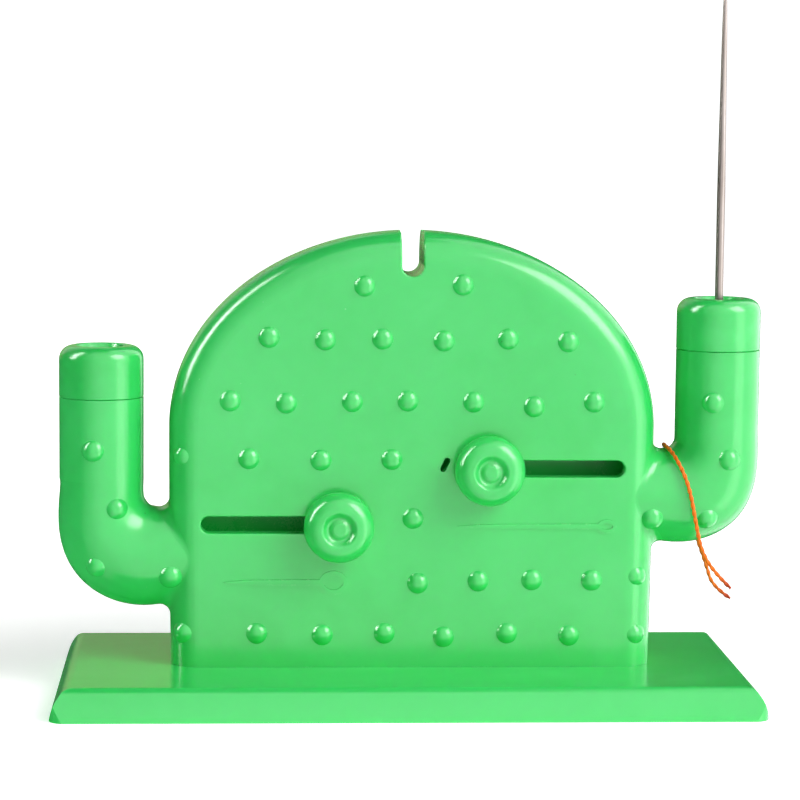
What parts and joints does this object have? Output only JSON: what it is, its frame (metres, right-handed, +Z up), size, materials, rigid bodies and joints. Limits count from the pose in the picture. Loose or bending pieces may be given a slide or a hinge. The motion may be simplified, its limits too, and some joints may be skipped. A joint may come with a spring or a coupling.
{
  "type": "needle threader",
  "caption": "Two-sided desk needle threader: arch-shaped body on a flat base, a tube-like arm on each side with a needle hole, slide knobs that push a blade through the needle's eye.",
  "frame": {"origin": "underside of the base, below the middle of the body", "axes": "+X right as seen from the front, +Y from the front face to the back, +Z up"},
  "size_m": [0.0872, 0.0396, 0.09],
  "materials": {
    "green_plastic": "glossy, slightly waxy moulded plastic",
    "inner_plastic": "plain moulded plastic",
    "blade_steel": "thin bright strip",
    "screw_steel": "zinc-plated",
    "spring_steel": "drawn wire",
    "needle_steel": "polished",
    "orange_thread": "two-ply twisted sewing thread"
  },
  "bodies": {
    "threader_body": {"base": "green_plastic", "front_shell": "green_plastic", "rear_shell": "green_plastic", "left_arm_cap": "green_plastic", "right_arm_cap": "green_plastic", "left_needle_seat": "inner_plastic", "right_needle_seat": "inner_plastic", "shell_screws": "screw_steel", "base_screws": "screw_steel", "left_return_spring": "spring_steel", "right_return_spring": "spring_steel", "thread": "orange_thread"},
    "left_slider": {"left_knob": "green_plastic", "left_slide_carriage": "green_plastic", "left_pusher_blade": "blade_steel", "left_blade_screw": "screw_steel"},
    "right_slider": {"right_knob": "green_plastic", "right_slide_carriage": "green_plastic", "right_pusher_blade": "blade_steel", "right_blade_screw": "screw_steel"},
    "needle": {"sewing_needle": "needle_steel"}
  },
  "joints": [
    {"name": "left_knob_slide", "type": "slide", "parent": "threader_body", "child": "left_slider", "axis": [-1, 0, 0], "range_m": [0, 0.0145], "stiffness_N_per_m": 40, "springref_m": -0.005, "deforming": ["left_return_spring"]},
    {"name": "right_knob_slide", "type": "slide", "parent": "threader_body", "child": "right_slider", "axis": [1, 0, 0], "range_m": [0, 0.0145], "stiffness_N_per_m": 40, "springref_m": -0.005, "deforming": ["right_return_spring"]},
    {"name": "needle_lift", "type": "slide", "parent": "threader_body", "child": "needle", "axis": [0, 0, 1], "range_m": [0, 0.025]}
  ]
}
